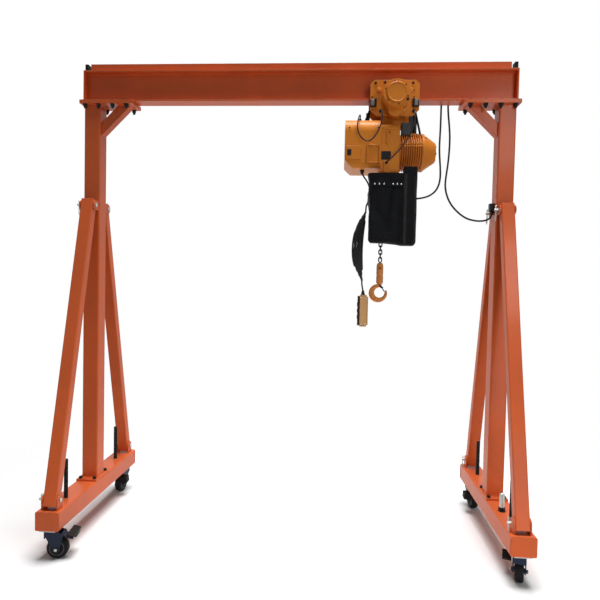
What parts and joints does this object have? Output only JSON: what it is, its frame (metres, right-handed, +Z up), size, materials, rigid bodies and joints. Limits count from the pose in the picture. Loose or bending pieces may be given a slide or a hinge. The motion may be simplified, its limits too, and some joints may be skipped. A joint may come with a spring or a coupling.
{
  "type": "gantry crane",
  "caption": "Portable gantry crane: I-beam on braced square-tube legs with caster bases, carrying a motor trolley and an electric chain hoist with hook, chain bag and pendant.",
  "frame": {"origin": "on the floor, under the middle of the beam", "axes": "+X along the beam towards the leg with the cable socket, +Y away from the side with the travel drive, +Z up"},
  "size_m": [2.8245, 1.15, 3.058],
  "materials": {
    "frame_paint": "glossy orange-red paint",
    "hoist_paint": "satin yellow-orange paint",
    "zinc": "zinc plate",
    "black_steel": "black oxide",
    "caster_blue": "dark blue paint",
    "black_rubber": "matt rubber",
    "bag_fabric": "coated black cloth",
    "pendant_plastic": "satin plastic",
    "black_plastic": "matt plastic"
  },
  "bodies": {
    "frame": {"base_end_plates": "frame_paint", "beam_end_blocks": "black_rubber", "beam_end_plates": "frame_paint", "beam_pads": "frame_paint", "brace_lugs": "frame_paint", "brace_pins": "zinc", "caster_plates": "zinc", "knee_braces": "frame_paint", "left_base_beam": "frame_paint", "left_braces": "frame_paint", "left_post": "frame_paint", "main_beam": "frame_paint", "post_end_plates": "frame_paint", "right_base_beam": "frame_paint", "right_braces": "frame_paint", "right_post": "frame_paint", "supply_socket": "black_plastic", "top_tube": "frame_paint"},
    "trolley": {"trolley_plates": "hoist_paint", "trolley_wheels": "zinc", "trolley_tie_bars": "zinc", "trolley_drive": "hoist_paint", "cable_arm": "black_steel", "hoist_hanger": "hoist_paint", "hoist_housing": "hoist_paint", "control_box": "hoist_paint", "hoist_motor": "hoist_paint", "motor_bell": "hoist_paint", "chain_bag": "bag_fabric", "load_chain": "zinc", "pendant": "pendant_plastic", "pendant_hank": "black_plastic", "pendant_cable": "black_plastic", "trolley_leads": "black_plastic", "supply_cable": "black_plastic"},
    "hook_block": {"hook_block": "black_steel"},
    "hook": {"hook": "hoist_paint"},
    "hook_latch": {"hook_latch": "black_steel"},
    "left_front_swivel": {"left_front_caster_fork": "caster_blue"},
    "left_front_wheel": {"left_front_caster_wheel": "black_rubber"},
    "left_front_pedal": {"left_front_brake_pedal": "caster_blue"},
    "left_front_jack": {"left_front_jack_screw": "black_steel"},
    "left_rear_swivel": {"left_rear_caster_fork": "caster_blue"},
    "left_rear_wheel": {"left_rear_caster_wheel": "black_rubber"},
    "left_rear_pedal": {"left_rear_brake_pedal": "caster_blue"},
    "left_rear_jack": {"left_rear_jack_screw": "black_steel"},
    "right_front_swivel": {"right_front_caster_fork": "caster_blue"},
    "right_front_wheel": {"right_front_caster_wheel": "black_rubber"},
    "right_front_pedal": {"right_front_brake_pedal": "caster_blue"},
    "right_front_jack": {"right_front_jack_screw": "black_steel"},
    "right_rear_swivel": {"right_rear_caster_fork": "caster_blue"},
    "right_rear_wheel": {"right_rear_caster_wheel": "black_rubber"},
    "right_rear_pedal": {"right_rear_brake_pedal": "caster_blue"},
    "right_rear_jack": {"right_rear_jack_screw": "black_steel"}
  },
  "joints": [
    {"name": "left_front_caster_swivel", "type": "hinge", "parent": "frame", "child": "left_front_swivel", "pos_m": [-1.3375, -0.515, 0.16], "axis": [0, 0, 1], "continuous": true},
    {"name": "left_front_wheel_spin", "type": "hinge", "parent": "left_front_swivel", "child": "left_front_wheel", "pos_m": [-1.30284, -0.51013, 0.0625], "axis": [0.1392, -0.9903, 0], "continuous": true},
    {"name": "left_front_brake_pedal", "type": "hinge", "parent": "left_front_swivel", "child": "left_front_pedal", "pos_m": [-1.2761, -0.50637, 0.143], "axis": [-0.1392, 0.9903, 0], "range_deg": [0, 25]},
    {"name": "left_front_jack_slide", "type": "slide", "parent": "frame", "child": "left_front_jack", "axis": [0, 0, -1], "range_m": [-0.06, 0.16]},
    {"name": "left_rear_caster_swivel", "type": "hinge", "parent": "frame", "child": "left_rear_swivel", "pos_m": [-1.3375, 0.515, 0.16], "axis": [0, 0, 1], "continuous": true},
    {"name": "left_rear_wheel_spin", "type": "hinge", "parent": "left_rear_swivel", "child": "left_rear_wheel", "pos_m": [-1.34055, 0.48013, 0.0625], "axis": [-0.9962, 0.0872, 0], "continuous": true},
    {"name": "left_rear_brake_pedal", "type": "hinge", "parent": "left_rear_swivel", "child": "left_rear_pedal", "pos_m": [-1.3429, 0.45324, 0.143], "axis": [0.9962, -0.0872, 0], "range_deg": [0, 25]},
    {"name": "left_rear_jack_slide", "type": "slide", "parent": "frame", "child": "left_rear_jack", "axis": [0, 0, -1], "range_m": [-0.06, 0.16]},
    {"name": "right_front_caster_swivel", "type": "hinge", "parent": "frame", "child": "right_front_swivel", "pos_m": [1.3375, -0.515, 0.16], "axis": [0, 0, 1], "continuous": true},
    {"name": "right_front_wheel_spin", "type": "hinge", "parent": "right_front_swivel", "child": "right_front_wheel", "pos_m": [1.34947, -0.48211, 0.0625], "axis": [0.9397, -0.342, 0], "continuous": true},
    {"name": "right_front_brake_pedal", "type": "hinge", "parent": "right_front_swivel", "child": "right_front_pedal", "pos_m": [1.35871, -0.45674, 0.143], "axis": [-0.9397, 0.342, 0], "range_deg": [-25, 0]},
    {"name": "right_front_jack_slide", "type": "slide", "parent": "frame", "child": "right_front_jack", "axis": [0, 0, -1], "range_m": [-0.06, 0.16]},
    {"name": "right_rear_caster_swivel", "type": "hinge", "parent": "frame", "child": "right_rear_swivel", "pos_m": [1.3375, 0.515, 0.16], "axis": [0, 0, 1], "continuous": true},
    {"name": "right_rear_wheel_spin", "type": "hinge", "parent": "right_rear_swivel", "child": "right_rear_wheel", "pos_m": [1.34055, 0.48013, 0.0625], "axis": [-0.9962, -0.0872, 0], "continuous": true},
    {"name": "right_rear_brake_pedal", "type": "hinge", "parent": "right_rear_swivel", "child": "right_rear_pedal", "pos_m": [1.3429, 0.45324, 0.143], "axis": [0.9962, 0.0872, 0], "range_deg": [0, 25]},
    {"name": "right_rear_jack_slide", "type": "slide", "parent": "frame", "child": "right_rear_jack", "axis": [0, 0, -1], "range_m": [-0.06, 0.16]},
    {"name": "trolley_slide", "type": "slide", "parent": "frame", "child": "trolley", "axis": [1, 0, 0], "range_m": [-1.48, 0.26], "deforming": ["supply_cable"]},
    {"name": "hook_lift", "type": "slide", "parent": "trolley", "child": "hook_block", "axis": [0, 0, 1], "range_m": [-1.45, 0.5], "deforming": ["load_chain"]},
    {"name": "hook_swivel", "type": "hinge", "parent": "hook_block", "child": "hook", "pos_m": [0.573, 0, 1.66], "axis": [0, 0, 1], "continuous": true},
    {"name": "latch_hinge", "type": "hinge", "parent": "hook", "child": "hook_latch", "pos_m": [0.5745, 0, 1.63297], "axis": [0, 1, 0], "range_deg": [0, 25], "stiffness_Nm_per_rad": 0.12, "springref_deg": -17.19}
  ]
}
